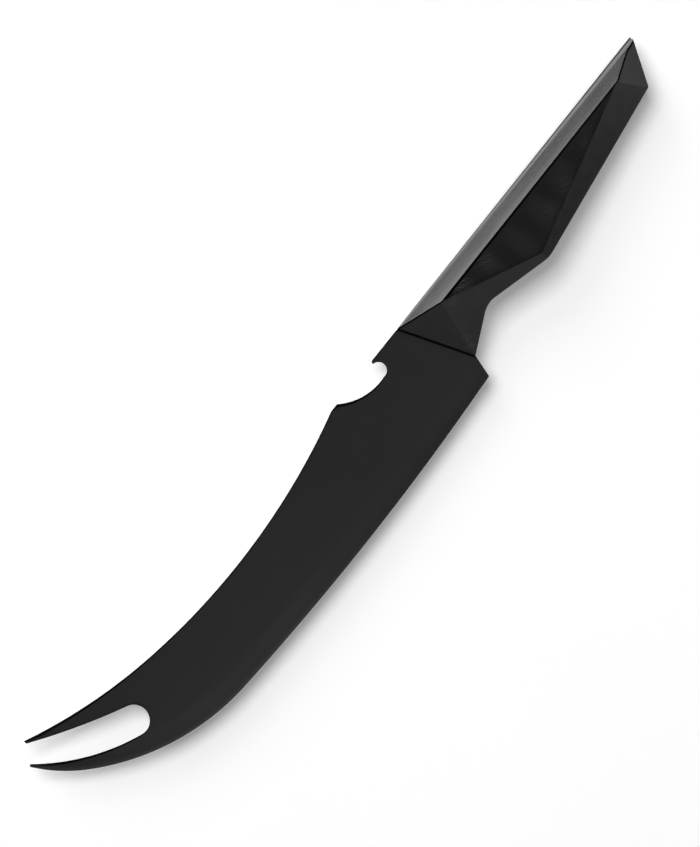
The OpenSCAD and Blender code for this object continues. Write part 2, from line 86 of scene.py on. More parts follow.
# Grip panels and fasteners, with places as shares of the handle's length
PANEL_T, LAY_GAP = 1.8, 0.1
LUG_SHARES, LUG_DROP = (0.365, 0.7), 8.0
DOWEL_UP, DOWEL_D = 3.0, 3.0
RIVET_SHARES, SLEEVE_D = (0.265, 0.472, 0.594), 5.0

# Finer forms that only the visual model has: the width of rounded edges
FACET_ROUND, SCALE_ROUND, RIM_ROUND = 0.3, 0.45, 0.25
CAP_ROUND, CAP_FOOT_ROUND = 0.1, 0.26
# Least angle at which an edge is rounded, and largest angles that are shaded smooth, in degrees
ROUND_FROM, BLADE_SMOOTH, HANDLE_SMOOTH = 8, 25, 40
# The cap's broad face bulges, a seam facet with a painted dark reflection runs along its crown and a steep
# facet ends it
CAP_BULGE, CAP_END_RUN = 0.2, 1.0
SEAM_START, SEAM_BELOW, SEAM_ABOVE = 10.0, 0.35, 0.25
# The blade's bare bevel, the fall of its eased borders, and the width and the run of the painted sheen next
# to its edge
BARE_W, BARE_SLOPE, EASE_SLOPE = 0.1, 1.15, 0.62
SHEEN_W, SHEEN_RUN = 3.0, 110.0
# Guides for the blade's triangles: shares of the easing's width, distances from the edge, run of the
# step down to the tang, and the grid between them
EASE_RINGS = (0.12, 0.3, 0.55, 0.8, 1.0, 1.25)
GRIND_RINGS = (0.3, 0.6, 1.0, 1.4, 1.9, 3.0, 4.2, 5.5, 6.8, 8.0, 8.8, 9.6)
STEP_RUN = 0.03
GRID_X, GRID_Y, GRID_STEP = (-205, 0), (-38, 12), 6.0
GRID_FROM_EDGE, GRID_FROM_BORDER = 10.5, 2.0
# The grip panel's place in its recess: depth, growth, gaps under the cap at its two ends, width of the
# painted shade along its rim
PANEL_SINK, PANEL_GROW, PANEL_TOP_GAPS, PANEL_SHADE_W = 0.15, 0.098, (0.62, 0.22), 1.6
# Its broad bands: band n starts at BAND_FIRST + BAND_STEP * n + BAND_GROWTH * n ** 2
BAND_RISE, BAND_FIRST, BAND_STEP, BAND_GROWTH, BAND_EASE = 0.28, 39.5, 13.0, 0.55, 3.0
# Its fine ribs
RIB_RISE, RIB_STEP, RIB_ANGLE, RIB_EASE = 0.06, 0.8, 42.0, 1.0
# Guides for its triangles: rings inside the rim, and a grid across and along the ribs
PANEL_RINGS, PANEL_POINT_STEP = (0.12, 0.3), 0.5
RIB_ROWS, RIB_COLUMNS, RIB_COLUMN_STEP = (-40, 80), (-110, 20), 0.9
# Where the ribs get painted glints: place, reach and amount
GLINT_SPOTS = (
    ((27.0, -8.2), 3.5, 1.0), ((40.5, -9.8), 4.0, 0.6),
    ((70.3, -16.9), 3.0, 0.45), ((80.0, -14.6), 4.0, 0.3))
# How the painted glints vary along a rib, and how far that shifts from one rib to the next, in radians
GLINT_DEPTH, GLINT_WAVE, GLINT_SHIFT = 0.4, 1.3, 2.3
# Where the plastic is lighter, with scuffs and painted highlights along the rounded edges: place, reach and
# amount
SCUFFS_AND_HIGHLIGHTS = (((21.0, -9.2, 9.1), 4.0, 0.5), ((13.2, -22.0, 4.4), 3.0, 0.45), ((12.0, -25.5, 3.2), 2.5, 0.4))


def vec(*p):
    return np.array(p, dtype=float)


def unit(v):
    return v / np.linalg.norm(v)


def turned(v):
    """A flat vector turned to the left by a right angle."""
    return vec(-v[1], v[0])


def flat_cross(u, v):
    """Above zero where v points to the left of u."""
    return u[0] * v[1] - u[1] * v[0]


def line_meet(p, u, q, v):
    """Where the line through p along u meets the line through q along v."""
    return p + u * flat_cross(q - p, v) / flat_cross(u, v)


def circles_meet(a, ra, b, rb):
    """Where two circles meet, left of the way from a to b."""
    way = b - a
    d = np.linalg.norm(way)
    along = (ra * ra - rb * rb + d * d) / (2 * d)
    return a + way / d * along + turned(way / d) * math.sqrt(ra * ra - along * along)


def moved_corner(a, b, c, d):
    """The corner b of the path a, b, c after both its lines move to the left by d."""
    return line_meet(b + turned(unit(b - a)) * d, b - a, b + turned(unit(c - b)) * d, c - b)


def arc_y(middle, r, x):
    """The lower half of a circle at the distance x."""
    return middle[1] - math.sqrt(r * r - (x - middle[0]) ** 2)


def arc(middle, r, start, end, step, side):
    """Points of an arc from start to end, step apart or less. It turns left for side 1, right for -1."""
    a0 = math.atan2(start[1] - middle[1], start[0] - middle[0])
    a1 = math.atan2(end[1] - middle[1], end[0] - middle[0])
    sweep = (side * (a1 - a0)) % (2 * math.pi)
    count = max(2, math.ceil(r * sweep / step))
    turns = a0 + side * sweep * np.arange(count + 1) / count
    return np.stack([middle[0] + r * np.cos(turns), middle[1] + r * np.sin(turns)], axis=1)


def circle(middle, r, count):
    """Points of a full circle, with the first not repeated at the end."""
    turns = np.arange(count) * 2 * math.pi / count
    return np.stack([middle[0] + r * np.cos(turns), middle[1] + r * np.sin(turns)], axis=1)


def line(a, b, step):
    """Points of a straight line from a to b, step apart or less."""
    count = max(1, math.ceil(np.linalg.norm(b - a) / step))
    return a + np.outer(np.arange(count + 1) / count, b - a)


def rounded(a, b, c, r, step=0.7):
    """Points of an arc of radius r that rounds the corner b of the path a, b, c."""
    u, v = unit(a - b), unit(c - b)
    half = math.acos(u @ v) / 2
    middle = b + unit(u + v) * r / math.sin(half)
    side = 1 if flat_cross(b - a, c - b) > 0 else -1
    return arc(middle, r, b + u * r / math.tan(half), b + v * r / math.tan(half), step, side)


def joined(paths):
    """Paths that follow each other as one, with each shared point once."""
    return np.concatenate([paths[0]] + [p[1:] for p in paths[1:]])


def plane(a, b, c):
    """A point and the unit normal, facing +z, of the plane through three points."""
    n = unit(np.cross(b - a, c - a))
    return a, n if n[2] > 0 else -n


def plane_z(facet, xy):
    """The height of a plane at one place or more, seen from above."""
    p, n = facet
    xy = np.asarray(xy, dtype=float)
    return p[2] - ((xy[..., 0] - p[0]) * n[0] + (xy[..., 1] - p[1]) * n[1]) / n[2]


def on_plane(facet, x, y):
    return vec(x, y, plane_z(facet, (x, y)))


def raised(p, z):
    return vec(p[0], p[1], z)


# Handle outline
front_top, front_low = vec(0, 0), vec(FRONT_LEAN, -FRONT_H)
front_way = unit(front_low - front_top)
neck, bulge, palm = vec(*NECK), vec(*BULGE), vec(*PALM)
butt_low, butt_top = vec(HANDLE_LEN - BUTT_LEAN, -BUTT_H), vec(HANDLE_LEN, 0)
butt_way = butt_low - butt_top
nose_low, tail_low = vec(CAP_NOSE, -CAP_H), vec(HANDLE_LEN - CAP_TAIL, -CAP_REAR_H)
tail_mid = vec(HANDLE_LEN - TAIL_BEND_X, -TAIL_BEND_H)
tail_end = line_meet(tail_mid, vec(1, TAIL_SLOPE), butt_top, butt_way)
cap_foot = np.array([front_top, nose_low, tail_low, tail_mid, tail_end])
# The scales start below the gasket
gasket_start = front_top - turned(unit(nose_low)) * GASKET_T
scale_front = line_meet(gasket_start, nose_low, front_top, front_way)
scale_nose = moved_corner(front_top, nose_low, tail_low, -GASKET_T)
scale_tail = moved_corner(nose_low, tail_low, tail_mid, -GASKET_T)
scale_tail_mid = moved_corner(tail_low, tail_mid, tail_end, -GASKET_T)
scale_end = line_meet(scale_tail_mid, tail_end - tail_mid, butt_top, butt_way)
scale_top = np.array([scale_front, scale_nose, scale_tail, scale_tail_mid, scale_end])
# The grip panel has its upper side along the gasket and two sides that meet at the palm
panel_way = scale_tail - scale_nose
panel_front = line_meet(scale_nose, panel_way, nose_low, palm - nose_low)
panel_rear = line_meet(scale_nose, panel_way, tail_low, palm - tail_low)
panel_sides = np.array([panel_front, palm, panel_rear])

# Facets of the scales
ridge_front, ridge_rear = raised(nose_low, RIDGE_FRONT_Z), raised(tail_low, RIDGE_REAR_Z)
palm_top, heel_top = raised(palm, PALM_Z), raised(front_low, HEEL_Z)
butt_low_top, butt_top_top = raised(butt_low, BUTT_LOW_Z), raised(butt_top, BUTT_TOP_Z)
front_top_top = raised(front_top, FRONT_Z)
nose_facet = plane(front_top_top, ridge_front, heel_top)
neck_facet = plane(ridge_front, palm_top, heel_top)
grip_facet = plane(ridge_front, palm_top, ridge_rear)
palm_facet = plane(ridge_rear, palm_top, butt_low_top)
butt_facet = plane(ridge_rear, butt_low_top, butt_top_top)

# Facets of the cap. Its broad face bulges a little, as two planes that meet half-way up
cap_facet = plane(front_top_top, ridge_front, ridge_rear)
band_front = on_plane(cap_facet, 0, -CAP_BAND_FRONT)
band_rear = on_plane(cap_facet, HANDLE_LEN, -CAP_BAND)
band_facet = plane(band_front, band_rear, band_front + vec(0, -1, BAND_FALL))
crown_front = on_plane(band_facet, 0, 0)
crown_rear = on_plane(band_facet, HANDLE_LEN, CROWN_LOW)
crown_facet = plane(crown_front, crown_rear, crown_front + vec(0, -1, CROWN_FALL))
cap_middle = (ridge_front + ridge_rear + band_front + band_rear) / 4 + vec(0, 0, CAP_BULGE)
cap_low_facet = plane(ridge_front, ridge_rear, cap_middle)
cap_high_facet = plane(band_front, band_rear, cap_middle)
# The seam takes the ridge off between band and crown, and grows towards the butt
seam_facet = plane(
    on_plane(band_facet, SEAM_START, CROWN_LOW * SEAM_START / HANDLE_LEN),
    on_plane(band_facet, HANDLE_LEN, CROWN_LOW - SEAM_BELOW),
    on_plane(crown_facet, HANDLE_LEN, CROWN_LOW + SEAM_ABOVE))
end_x = HANDLE_LEN - CAP_END_RUN
end_rim = on_plane(band_facet, end_x, 0)
cap_end_facet = plane(end_rim, on_plane(band_facet, end_x, -1), end_rim + vec(1, 0, -CROWN_FALL))

# Blade arcs
edge_x = TIP_RUN - BLADE_LEN
edge_turn = math.asin((-edge_x - BELLY_X) / BELLY_R)
edge_joint = vec(edge_x, -BLADE_DEPTH + BELLY_R * (1 - math.cos(edge_turn)))
edge_tip_middle = edge_joint + TIP_R * vec(math.sin(edge_turn), math.cos(edge_turn))
belly_middle = vec(-BELLY_X, BELLY_R - BLADE_DEPTH)
heel = vec(HEEL_X, arc_y(belly_middle, BELLY_R, HEEL_X))
spine_turn = math.asin((SPINE_TIP_X - SAG_X) / SPINE_R)
spine_joint = vec(-SPINE_TIP_X, -SPINE_SAG + SPINE_R * (1 - math.cos(spine_turn)))
hollow_middle = vec(-SAG_X, SPINE_R - SPINE_SAG)
spine_tip_middle = spine_joint + SPINE_TIP_R * vec(math.sin(spine_turn), math.cos(spine_turn))
# Fork
upper_tip_x = TINE_STEP - BLADE_LEN
upper_tip = vec(upper_tip_x, arc_y(spine_tip_middle, SPINE_TIP_R, upper_tip_x))
upper_inner = upper_tip - vec(0, UPPER_END_W)
lower_tip = vec(-BLADE_LEN, TIP_RISE)
end_angle = math.radians(LOWER_END_ANGLE)
lower_inner = lower_tip + LOWER_END_W * vec(math.cos(end_angle), math.sin(end_angle))
slot_middle = vec(SLOT_RUN - BLADE_LEN, -SLOT_DROP)
upper_arc = circles_meet(upper_inner, UPPER_TINE_R, slot_middle, UPPER_TINE_R + SLOT_R)
lower_arc = circles_meet(lower_inner, LOWER_TINE_R, slot_middle, LOWER_TINE_R - SLOT_R)
upper_touch = slot_middle + SLOT_R * unit(upper_arc - slot_middle)
lower_touch = slot_middle - SLOT_R * unit(lower_arc - slot_middle)
relief_start = circles_meet(edge_tip_middle, TIP_R, lower_tip, RELIEF_LEN)
relief_middle = circles_meet(lower_tip, RELIEF_R, relief_start, RELIEF_R)
# The shoulder, where the blade steps down to the tang
seal_back = turned(front_way) * -SEAL_W
spine_corner = line_meet(front_top + seal_back, front_way, vec(0, 0), vec(1, 0))
shoulder_top = line_meet(spine_corner, front_way, vec(0, -SHOULDER), vec(1, 0))
shoulder_low = line_meet(shoulder_top, front_way, heel, front_low - heel)

# The part's frame has its origin below the middle of the part
SHIFT = vec((BLADE_LEN - HANDLE_LEN) / 2, (BLADE_DEPTH - upper_tip[1]) / 2, PALM_Z)


def laid(points):
    """Drawing points in millimetres to the part's frame in metres."""
    return (np.asarray(points, dtype=float) + SHIFT) * MM


def drawn(points):
    """Points of the part's frame in metres back to the drawing in millimetres."""
    return np.asarray(points, dtype=float) / MM - SHIFT


def add_object(name, data):
    obj = bpy.data.objects.new(name, data)
    bpy.context.scene.collection.objects.link(obj)
    return obj


def make_object(name, bm):
    """A mesh object from a bmesh that is drawn in millimetres."""
    bmesh.ops.recalc_face_normals(bm, faces=bm.faces[:])
    mesh = bpy.data.meshes.new(name)
    bm.to_mesh(mesh)
    bm.free()
    points = np.empty(len(mesh.vertices) * 3)
    mesh.vertices.foreach_get("co", points)
    mesh.vertices.foreach_set("co", laid(points.reshape(-1, 3)).ravel())
    mesh.update()
    return add_object(name, mesh)


def settle(obj):
    """Turns the object's modifiers into plain mesh."""
    graph = bpy.context.evaluated_depsgraph_get()
    mesh = bpy.data.meshes.new_from_object(obj.evaluated_get(graph))
    obj.modifiers.clear()
    obj.data = mesh
    mesh.name = obj.name


def shade(obj, angle):
    """Smooth shading with flat facets kept flat."""
    obj.data.polygons.foreach_set("use_smooth", np.ones(len(obj.data.polygons), dtype=bool))
    obj.data.set_sharp_from_angle(angle=math.radians(angle))
    weigh = obj.modifiers.new("weigh", "WEIGHTED_NORMAL")
    weigh.mode = "FACE_AREA"
    weigh.weight = 50
    weigh.keep_sharp = True
    settle(obj)


def prism(outline, low, high):
    """A closed upright mesh over an outline, with one height for all its corners or one for each."""
    bm = bmesh.new()
    lows, highs = np.broadcast_to(low, len(outline)), np.broadcast_to(high, len(outline))
    base = [bm.verts.new((p[0], p[1], z)) for p, z in zip(outline, lows)]
    top = [bm.verts.new((p[0], p[1], z)) for p, z in zip(outline, highs)]
    bm.faces.new(base[::-1])
    bm.faces.new(top)
    for i in range(len(outline)):
        j = (i + 1) % len(outline)
        bm.faces.new((base[i], base[j], top[j], top[i]))
    bmesh.ops.recalc_face_normals(bm, faces=bm.faces[:])
    return bm


def cut(bm, facet, side=1):
    """Takes away all that lies outside a plane, or outside its mirror image for side -1."""
    point, normal = facet
    flip = vec(1, 1, side)
    geom = bm.verts[:] + bm.edges[:] + bm.faces[:]
    made = bmesh.ops.bisect_plane(
        bm, geom=geom, dist=1e-4, plane_co=Vector(point * flip), plane_no=Vector(normal * flip),
        clear_outer=True)
    rim = [e for e in made["geom_cut"] if isinstance(e, bmesh.types.BMEdge) and e.is_boundary]
    if rim:
        bmesh.ops.holes_fill(bm, edges=rim, sides=0)


def clean(bm):
    """Removes the specks that cuts can leave."""
    bmesh.ops.remove_doubles(bm, verts=bm.verts[:], dist=2e-3)
    bmesh.ops.dissolve_degenerate(bm, edges=bm.edges[:], dist=1e-3)


def soften(obj, widths, segments=3):
    """Rounds edges. The function widths gives each edge's width from its ends in millimetres."""
    mesh = obj.data
    bm = bmesh.new()
    bm.from_mesh(mesh)
    amount = []
    for e in bm.edges:
        is_sharp = e.calc_face_angle(0.0) > math.radians(ROUND_FROM)
        amount.append(widths(*[drawn(v.co) for v in e.verts]) if is_sharp else 0.0)
    bm.free()
    largest = max(amount)
    weights = mesh.attributes.new("bevel_weight_edge", "FLOAT", "EDGE")
    weights.data.foreach_set("value", np.array(amount) / largest)
    bevel = obj.modifiers.new("round", "BEVEL")
    bevel.limit_method = "WEIGHT"
    bevel.width = largest * MM
    bevel.segments = segments
    bevel.use_clamp_overlap = False
    settle(obj)


def mirror(obj):
    """Turns a piece of the left side into its mirror image on the right side."""
    bm = bmesh.new()
    bm.from_mesh(obj.data)
    for v in bm.verts:
        v.co.z = 2 * PALM_Z * MM - v.co.z
    bmesh.ops.reverse_faces(bm, faces=bm.faces[:])
    bm.to_mesh(obj.data)
    bm.free()


def subtract(obj, bm):
    """Takes the shape of a bmesh out of an object."""
    tool = make_object("tool", bm)
    take = obj.modifiers.new("take", "BOOLEAN")
    take.operation = "DIFFERENCE"
    take.solver = "EXACT"
    take.object = tool
    settle(obj)
    bpy.data.objects.remove(tool)


def finish_piece(obj, node, slot, *materials):
    """Gives a piece its materials and its place in the part."""
    for m in materials:
        obj.data.materials.append(m)
    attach(obj, "root")
    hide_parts(node)


# Procedural materials. Their patterns are in the part's frame, so noise scales are per metre

class Nodes:
    """Short way to write a node tree."""

    def __init__(self, tree):
        self.tree = tree
        tree.nodes.clear()

    def connect(self, socket, value):
        """Links another node's output to a socket, or sets a constant on it."""
        if isinstance(value, bpy.types.NodeSocket):
            self.tree.links.new(value, socket)
        else:
            socket.default_value = value

    def add(self, kind, links=None, **values):
        n = self.tree.nodes.new(kind)
        for key, value in values.items():
            setattr(n, key, value)
        for key, value in (links or {}).items():
            self.connect(n.inputs[key], value)
        return n

    def maths(self, operation, a, b=0.0):
        return self.add("ShaderNodeMath", {0: a, 1: b}, operation=operation).outputs[0]

    def attribute(self, name):
        """An amount that the mesh stores at its points."""
        return self.add("ShaderNodeAttribute", attribute_name=name).outputs["Fac"]

    def distance(self, vector, place):
        n = self.add("ShaderNodeVectorMath", {0: vector, 1: place}, operation="DISTANCE")
        return n.outputs["Value"]

    def noise(self, vector, scale=1.0, detail=3.0, roughness=0.5):
        n = self.add("ShaderNodeTexNoise", {
            "Vector": vector, "Scale": scale, "Detail": detail, "Roughness": roughness})
        return n.outputs["Fac"]

    def spread(self, value, low, high, from_low=0.3, from_high=0.7):
        """A value brought from one range to another. Most of a noise lies between 0.3 and 0.7."""
        n = self.add("ShaderNodeMapRange", {
            "Value": value, "From Min": from_low, "From Max": from_high,
            "To Min": low, "To Max": high})
        return n.outputs["Result"]

    def stretched(self, vector, scale, turn=0.0):
        n = self.add("ShaderNodeMapping", {
            "Vector": vector, "Scale": scale, "Rotation": (0.0, 0.0, turn)})
        return n.outputs["Vector"]

    def blend(self, factor, a, b):
        """The colour a, turning into b where the factor is 1."""
        n = self.add("ShaderNodeMix", data_type="RGBA")
        for socket, value in zip([s for s in n.inputs if s.enabled], (factor, a, b)):
            self.connect(socket, value)
        return [s for s in n.outputs if s.enabled][0]

    def tones(self, pattern, low, high):
        """Colours between two, spread by a noise."""
        return self.blend(self.spread(pattern, 0.0, 1.0), low, high)

    def mixed(self, a, b, share):
        """Two noises as one, with a share of the second."""
        return self.maths("ADD", self.maths("MULTIPLY", a, 1 - share), self.maths("MULTIPLY", b, share))

    def uneven(self, grain, limits, cloud, drift=0.02):
        """Roughness between limits by a fine noise, drifting with a broad one."""
        return self.maths("ADD", self.spread(grain, *limits), self.spread(cloud, -drift, drift))

    def bump(self, height, distance, strength=1.0, normal=None):
        links = {"Height": height, "Distance": distance, "Strength": strength}
        if normal is not None:
            links["Normal"] = normal
        return self.add("ShaderNodeBump", links).outputs["Normal"]


# Tones of the painted sheen on the coating, the painted shade on the panel's rim, the painted glints on the
# ribs, and the plastic's scuffs and painted highlights
SHEEN_TONE, SHADE_TONE, GLINT_TONE, SCUFF_HIGHLIGHT_TONE = 0.034, 0.001, 0.07, 0.08


def grey(value, tint=(1.0, 1.0, 1.0)):
    return (value * tint[0], value * tint[1], value * tint[2], 1.0)


def new_material(name):
    """A material, its empty node tree and the place on the object."""
    m = bpy.data.materials.new(name)
    m.use_nodes = True
    t = Nodes(m.node_tree)
    where = t.add("ShaderNodeTexCoord").outputs["Object"]
    return m, t, where


def shader(t, colour, roughness, normal, **constants):
    """Ends a node tree with one surface."""
    links = {"Base Color": colour, "Roughness": roughness, "Normal": normal}
    for key, value in constants.items():
        links[key.replace("_", " ")] = value
    surface = t.add("ShaderNodeBsdfPrincipled", links).outputs["BSDF"]
    t.add("ShaderNodeOutputMaterial", {"Surface": surface})


def coating_material(name, low, high, rough, gloss):
    """A matte black coating, lighter with a painted sheen where the mesh says so."""
    m, t, where = new_material(name)
    cloud = t.noise(where, scale=45.0, detail=4.0)
    grain = t.noise(where, scale=2600.0, detail=2.0)
    drag = t.noise(t.stretched(where, (60.0, 1500.0, 600.0)))
    colour = t.tones(t.mixed(cloud, drag, 0.3), grey(low), grey(high))
    # Painted sheen, lighter where the mesh stores it
    colour = t.blend(t.attribute("painted_sheen"), colour, grey(SHEEN_TONE))
    normal = t.bump(drag, distance=2e-6, strength=0.5, normal=t.bump(grain, distance=5e-6, strength=0.6))
    shader(t, colour, t.uneven(grain, rough, cloud), normal, Specular_IOR_Level=gloss)
    return m


def steel_material(name, low, high, tint=(1.0, 1.0, 1.0), rough=(0.24, 0.36)):
    """Ground metal with fine lines across its length."""
    m, t, where = new_material(name)
    lines = t.noise(t.stretched(where, (2500.0, 120.0, 120.0)))
    cloud = t.noise(where, scale=300.0, detail=2.0)
    colour = t.tones(lines, grey(low, tint), grey(high, tint))
    normal = t.bump(lines, distance=2e-6, strength=0.5)
    shader(t, colour, t.uneven(lines, rough, cloud), normal, Metallic=1.0)
    return m


def scale_material():
    """Black moulded plastic with a sparkling grain and a few light spots, partly scuffs and partly painted
    highlights along edges.
    """
    m, t, where = new_material("scale_plastic")
    cloud = t.noise(where, scale=220.0, detail=4.0, roughness=0.6)
    spark = t.noise(where, scale=2200.0, roughness=0.6)
    colour = t.tones(cloud, grey(0.0003), grey(0.0056))
    speckle = t.spread(t.noise(where, scale=1100.0, detail=4.0, roughness=0.7), 0.0, 1.0, 0.48, 0.68)
    # Light spots: scuffs, and painted highlights along the rounded edges
    for spot, reach, amount in SCUFFS_AND_HIGHLIGHTS:
        near = t.spread(t.distance(where, laid(spot)), amount, 0.0, 0.0, reach * MM)
        colour = t.blend(t.maths("MULTIPLY", near, speckle), colour, grey(SCUFF_HIGHLIGHT_TONE))
    shader(t, colour, t.uneven(spark, (0.34, 0.41), cloud), t.bump(spark, distance=9e-6, strength=0.7))
    return m


def rubber_material(name, low, high, rough, gloss):
    """Black rubber, darker with painted shade and lighter with painted glints where the mesh says so."""
    m, t, where = new_material(name)
    cloud = t.noise(where, scale=90.0)
    grain = t.noise(where, scale=3200.0, detail=2.0)
    lines = t.noise(t.stretched(where, (900.0, 140.0, 140.0), turn=math.radians(50)), detail=2.0)
    colour = t.tones(t.mixed(cloud, lines, 0.4), grey(low), grey(high))
    # Painted shade on the rim and painted glints on the ribs, as the mesh stores them
    colour = t.blend(t.attribute("shade"), colour, grey(SHADE_TONE))
    colour = t.blend(t.attribute("painted_sheen"), colour, grey(GLINT_TONE))
    normal = t.bump(lines, distance=8e-6, strength=0.6, normal=t.bump(grain, distance=6e-6, strength=0.6))
    shader(t, colour, t.uneven(grain, rough, cloud, drift=0.03), normal, Specular_IOR_Level=gloss)
    return m


def cap_material(name, low, high, rough):
    """Satin metal with lines along its length."""
    m, t, where = new_material(name)
    lines = t.noise(t.stretched(where, (40.0, 2400.0, 2400.0)), detail=4.0, roughness=0.6)
    cloud = t.noise(where, scale=35.0)
    colour = t.tones(t.mixed(cloud, lines, 0.3), grey(low), grey(high))
    normal = t.bump(lines, distance=1e-6, strength=0.5)
    shader(t, colour, t.uneven(lines, rough, cloud), normal, Metallic=1.0)
    return m


COATING = coating_material("blade_coating", 0.0036, 0.0050, rough=(0.40, 0.46), gloss=0.37)
# A darker copy of the coating: painted shade along the spine's borders, where the edge walls lie in shadow
SHADE_COATING = coating_material("painted_shade_coating", 0.0008, 0.0016, rough=(0.50, 0.60), gloss=0.05)
EDGE_STEEL = steel_material("edge_steel", 0.34, 0.44)
PLASTIC = scale_material()
GRIP_RUBBER = rubber_material("grip_rubber", 0.0032, 0.0050, rough=(0.34, 0.40), gloss=0.2)
SEAL_RUBBER = rubber_material("seal_rubber", 0.0010, 0.0018, rough=(0.60, 0.75), gloss=0.06)
CAP_METAL = cap_material("cap_metal", 0.205, 0.24, rough=(0.25, 0.31))
# Darker and lighter copies of the cap's metal: a painted dark reflection in the seam and painted highlights
DARK_REFLECTION_METAL = cap_material("painted_dark_reflection_metal", 0.02, 0.03, rough=(0.40, 0.50))
HIGHLIGHT_METAL = cap_material("painted_highlight_metal", 0.82, 0.90, rough=(0.10, 0.16))
DOWEL_STEEL = steel_material("dowel_steel", 0.45, 0.60)
BRASS = steel_material("rivet_brass", 0.60, 0.75, tint=(1.0, 0.78, 0.42))


# Plates: fine meshes over a flat outline, for shapes that distances from paths describe

# Points that are compared with a path at a time, to save memory
CHUNK = 400


def inside(points, outline):
    """Which points lie inside a closed outline."""
    x, y = points[:, 0][:, None], points[:, 1][:, None]
    a, b = outline, np.roll(outline, -1, axis=0)
    spans = (a[:, 1] > y) != (b[:, 1] > y)
    slope = np.where(np.abs(b[:, 1] - a[:, 1]) < 1e-12, 1e-12, b[:, 1] - a[:, 1])
    crosses = x < (b[:, 0] - a[:, 0]) * (y - a[:, 1]) / slope + a[:, 0]
    return (spans & crosses).sum(axis=1) % 2 == 1


def nearest(points, path, values=None):
    """Distance from each point to a path of points, and the path's value at the nearest place."""
    a, b = path[:-1], path[1:]
    way = b - a
    length2 = (way ** 2).sum(axis=1)
    best, value = np.zeros(len(points)), np.zeros(len(points))
    for start in range(0, len(points), CHUNK):
        part = slice(start, start + CHUNK)
        p = points[part]
        share = np.clip(((p[:, None, :] - a) * way).sum(axis=2) / length2, 0, 1)
        gap = np.linalg.norm(p[:, None, :] - a - share[:, :, None] * way, axis=2)
        rows, i = np.arange(len(p)), gap.argmin(axis=1)
        best[part] = gap[rows, i]
        if values is not None:
            s = share[rows, i]
            value[part] = values[i] * (1 - s) + values[i + 1] * s
    return best, value


def away(point, path):
    """Distance from one point to a path, seen from above."""
    return nearest(point[None, :2], path)[0][0]


def offset(path, widths):
    """A path moved to its left by one width, or by a width at each point."""
    way = np.gradient(path, axis=0)
    way /= np.linalg.norm(way, axis=1)[:, None]
    widths = np.broadcast_to(widths, len(path))
    return path + np.stack([-way[:, 1], way[:, 0]], axis=1) * widths[:, None]


def fade(path, start, end):
    """Widths that run evenly from start to end along a path."""
    steps = np.linalg.norm(np.diff(path, axis=0), axis=1)
    share = np.concatenate([[0], np.cumsum(steps)]) / steps.sum()
    return start + (end - start) * share


def twice_area(flat, faces):
    """Twice the area of each triangle, negative for a clockwise one."""
    a, b, c = flat[faces[:, 0]], flat[faces[:, 1]], flat[faces[:, 2]]
    return (b[:, 0] - a[:, 0]) * (c[:, 1] - a[:, 1]) - (b[:, 1] - a[:, 1]) * (c[:, 0] - a[:, 0])


def fill_flat(outline, holes, paths, points):
    """Triangles that fill an outline with holes and follow the given paths and points."""
    verts, edges = [], []

    def add(path, closed):
        start = len(verts)
        verts.extend(Vector((p[0], p[1])) for p in path)
        count = len(path)
        edges.extend((start + i, start + i + 1) for i in range(count - 1))
        if closed:
            edges.append((start + count - 1, start))

    add(outline, True)
    for h in holes:
        add(h, True)
    for p in paths:
        add(p, False)
    verts.extend(Vector((p[0], p[1])) for p in points)
    made = delaunay_2d_cdt(verts, edges, [], 0, 1e-4)
    flat = np.array([(v[0], v[1]) for v in made[0]])
    faces = np.array([f for f in made[2] if len(f) == 3])
    middle = flat[faces].mean(axis=1)
    keep = inside(middle, outline) & (np.abs(twice_area(flat, faces)) > 1e-5)
    for h in holes:
        keep &= ~inside(middle, h)
    faces = faces[keep]
    used = np.unique(faces)
    place = np.full(len(flat), -1)
    place[used] = np.arange(len(used))
    return flat[used], place[faces]


def rim_edges(faces):
    """The edges that belong to one triangle, with the triangle on their left."""
    ways = dict.fromkeys((u, v) for a, b, c in faces for u, v in ((a, b), (b, c), (c, a)))
    return [(u, v) for u, v in ways if (v, u) not in ways]


def counter_clockwise(flat, faces):
    turn = twice_area(flat, faces)
    faces = faces.copy()
    faces[turn < 0] = faces[turn < 0][:, ::-1]
    return faces


def plate(flat, faces, top, low):
    """A closed mesh between two heights over the same triangles."""
    faces = counter_clockwise(flat, faces)
    bm = bmesh.new()
    upper = [bm.verts.new((p[0], p[1], z)) for p, z in zip(flat, top)]
    lower = [bm.verts.new((p[0], p[1], z)) for p, z in zip(flat, low)]
    for a, b, c in faces:
        bm.faces.new((upper[a], upper[b], upper[c]))
        bm.faces.new((lower[c], lower[b], lower[a]))
    for a, b in rim_edges(faces):
        bm.faces.new((upper[b], upper[a], lower[a], lower[b]))
    return bm


def store(bm, name, amounts):
    """Stores an amount at each point of a plate's upper side, and the same on its lower side."""
    layer = bm.verts.layers.float.new(name)
    for v, amount in zip(bm.verts, np.tile(amounts, 2)):
        v[layer] = amount


# Blade: its thickness follows the distance from the edge and from the eased borders

def rivet_spots():
    """The middles of the rivets, half-way between the sides of the grip panel."""
    spots = []
    for share in RIVET_SHARES:
        x = share * HANDLE_LEN
        top = line_meet(scale_nose, panel_way, vec(x, 0), vec(0, 1))
        start = nose_low if x < palm[0] else tail_low
        low = line_meet(start, palm - start, vec(x, 0), vec(0, 1))
        spots.append((top + low) / 2)
    return spots


def dowel_spots():
    return [vec(share * HANDLE_LEN, DOWEL_UP - CAP_H - LUG_DROP) for share in LUG_SHARES]


